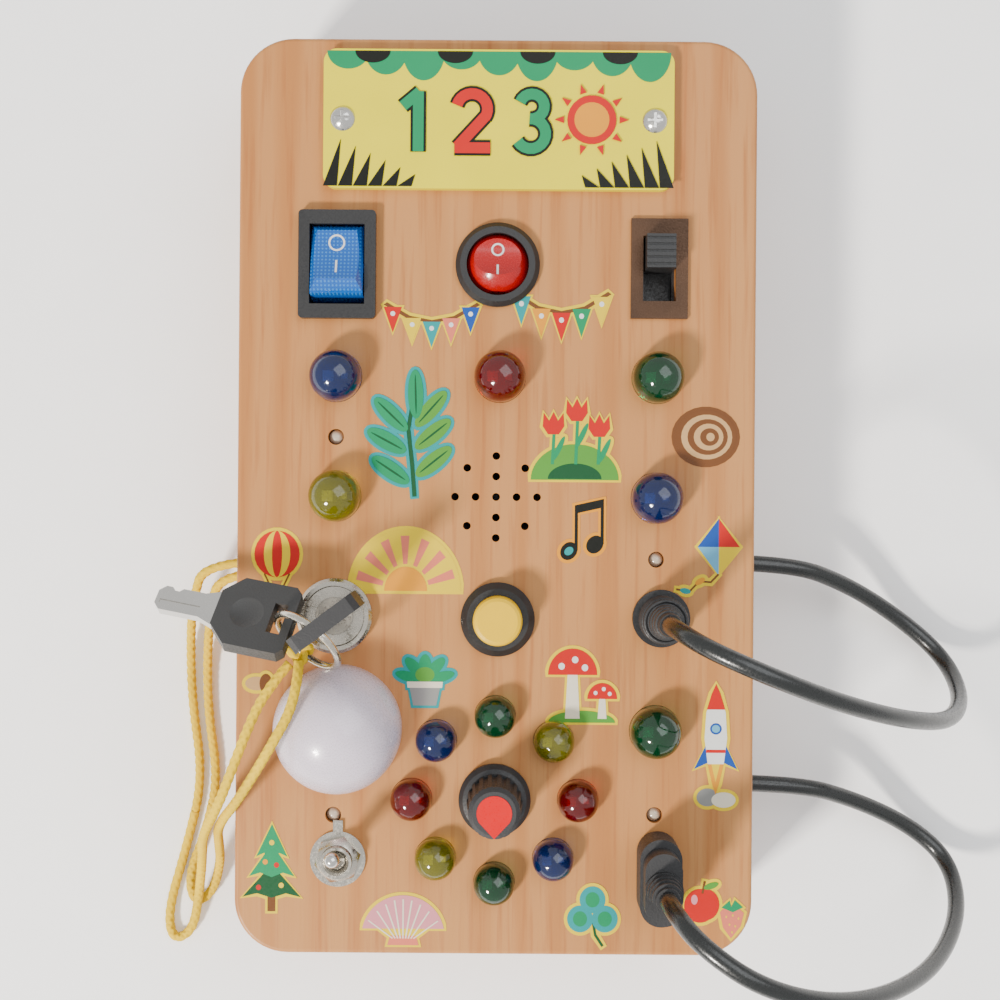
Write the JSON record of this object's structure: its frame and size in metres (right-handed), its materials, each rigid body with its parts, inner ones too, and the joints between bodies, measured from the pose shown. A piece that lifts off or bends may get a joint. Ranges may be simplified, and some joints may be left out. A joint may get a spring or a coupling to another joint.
{
  "type": "busy board",
  "caption": "Wooden play box with switches, lamps, key lock, plugs, knob and lever on its face, keys on a lanyard and cords to its sides.",
  "frame": {"origin": "centre of the underside, on the surface it lies on", "axes": "+Z out of the face with the controls, +Y towards the name plate along the long side, +X right"},
  "size_m": [0.1671, 0.1839, 0.0687],
  "materials": {
    "pine_wood": "lacquered",
    "zinc_steel": "zinc plated",
    "nickel": "plated",
    "black_plastic": "fine texture",
    "cell_wrap": "satin",
    "yellow_plate": "gloss",
    "blue_rocker": "translucent",
    "red_rocker": "translucent",
    "dull_plate": "dull",
    "yellow_cord": "braided",
    "milky_dome": "milky",
    "yellow_cap": "satin",
    "cable_jacket": "semi gloss",
    "board_green": "solder mask",
    "red_pointer": "gloss",
    "red_lens": "translucent",
    "green_lens": "translucent",
    "blue_lens": "translucent",
    "yellow_lens": "translucent",
    "clear_lens": "translucent",
    "sticker_print": "printed film"
  },
  "bodies": {
    "case": {"front_panel": "pine_wood", "side_frame": "pine_wood", "back_cover": "pine_wood", "back_screws": "zinc_steel", "battery_contacts": "zinc_steel", "solder_lugs": "zinc_steel", "plate_screws": "nickel", "lock_body": "nickel", "toggle_body": "nickel", "toggle_nut": "nickel", "toggle_washer": "nickel", "back_nuts": "nickel", "usb_socket_shell": "nickel", "button_spring": "nickel", "battery_box": "black_plastic", "rocker_housing": "black_plastic", "round_rocker_housing": "black_plastic", "slide_switch_body": "black_plastic", "button_body": "black_plastic", "dc_socket": "black_plastic", "usb_socket_tongue": "black_plastic", "rotary_body": "black_plastic", "speaker": "black_plastic", "cord_stops": "black_plastic", "battery_cells": "cell_wrap", "name_plate": "yellow_plate", "slide_switch_plate": "dull_plate", "lanyard_outer_strand": "yellow_cord", "lanyard_inner_strand": "yellow_cord", "dome_cover": "milky_dome", "dc_cord": "cable_jacket", "usb_cord": "cable_jacket", "circuit_board": "board_green", "red_leds": "red_lens", "green_leds": "green_lens", "blue_leds": "blue_lens", "yellow_leds": "yellow_lens", "clear_leds": "clear_lens", "stickers": "sticker_print"},
    "rocker": {"rocker_button": "blue_rocker"},
    "round_rocker": {"round_rocker_button": "red_rocker"},
    "slider": {"slide_switch_knob": "black_plastic"},
    "core": {"lock_core": "nickel"},
    "key": {"key_head": "black_plastic", "key_blade": "nickel"},
    "ring": {"key_ring": "nickel", "lanyard_knot": "yellow_cord"},
    "spare_key": {"spare_key_head": "black_plastic", "spare_key_blade": "nickel"},
    "cap": {"button_cap": "yellow_cap"},
    "dc_plug": {"dc_plug_barrel": "nickel", "dc_plug_grip": "black_plastic"},
    "usb_plug": {"usb_plug_shell": "nickel", "usb_plug_grip": "black_plastic"},
    "knob": {"knob_body": "black_plastic", "knob_pointer": "red_pointer", "rotary_shaft": "nickel"},
    "lever": {"toggle_lever": "nickel"},
    "door": {"battery_door": "black_plastic", "door_screw": "zinc_steel"}
  },
  "joints": [
    {"name": "rocker_tilt", "type": "hinge", "parent": "case", "child": "rocker", "pos_m": [-0.0312, 0.045, 0.0275], "axis": [1, 0, 0], "range_deg": [0, 30]},
    {"name": "round_rocker_tilt", "type": "hinge", "parent": "case", "child": "round_rocker", "pos_m": [0, 0.0452, 0.0275], "axis": [1, 0, 0], "range_deg": [0, 30]},
    {"name": "slider_travel", "type": "slide", "parent": "case", "child": "slider", "axis": [0, -1, 0], "range_m": [0, 0.0058]},
    {"name": "lock_turn", "type": "hinge", "parent": "case", "child": "core", "pos_m": [-0.0312, -0.0233, 0.0317], "axis": [0, 0, 1], "range_deg": [-45, 0], "deforming": ["lanyard_outer_strand", "lanyard_inner_strand"]},
    {"name": "key_pull", "type": "slide", "parent": "core", "child": "key", "axis": [0, 0, 1], "range_m": [0, 0.006], "deforming": ["lanyard_outer_strand", "lanyard_inner_strand"]},
    {"name": "ring_swing", "type": "hinge", "parent": "key", "child": "ring", "pos_m": [-0.0328, -0.0245, 0.0507], "axis": [-0.7771, 0.6293, 0], "range_deg": [0, 15], "deforming": ["lanyard_outer_strand", "lanyard_inner_strand"]},
    {"name": "spare_key_swing", "type": "hinge", "parent": "ring", "child": "spare_key", "pos_m": [-0.04068, -0.02393, 0.0422], "axis": [0.0172, -0.574, -0.8187], "range_deg": [0, 10]},
    {"name": "cap_press", "type": "slide", "parent": "case", "child": "cap", "axis": [0, 0, -1], "range_m": [0, 0.003], "stiffness_N_per_m": 120, "springref_m": -0.001, "deforming": ["button_spring"]},
    {"name": "dc_plug_pull", "type": "slide", "parent": "case", "child": "dc_plug", "axis": [0, 0, 1], "range_m": [0, 0.012], "deforming": ["dc_cord"]},
    {"name": "usb_plug_pull", "type": "slide", "parent": "case", "child": "usb_plug", "axis": [0, 0, 1], "range_m": [0, 0.013], "deforming": ["usb_cord"]},
    {"name": "knob_turn", "type": "hinge", "parent": "case", "child": "knob", "pos_m": [0.00016, -0.0589, 0.03], "axis": [0, 0, 1], "range_deg": [0, 315]},
    {"name": "lever_throw", "type": "hinge", "parent": "case", "child": "lever", "pos_m": [-0.0303, -0.0707, 0.0318], "axis": [1, 0, 0], "range_deg": [0, 24]},
    {"name": "door_swing", "type": "hinge", "parent": "case", "child": "door", "pos_m": [0, 0.0273, 0.0013], "axis": [1, 0, 0], "range_deg": [0, 95]}
  ]
}
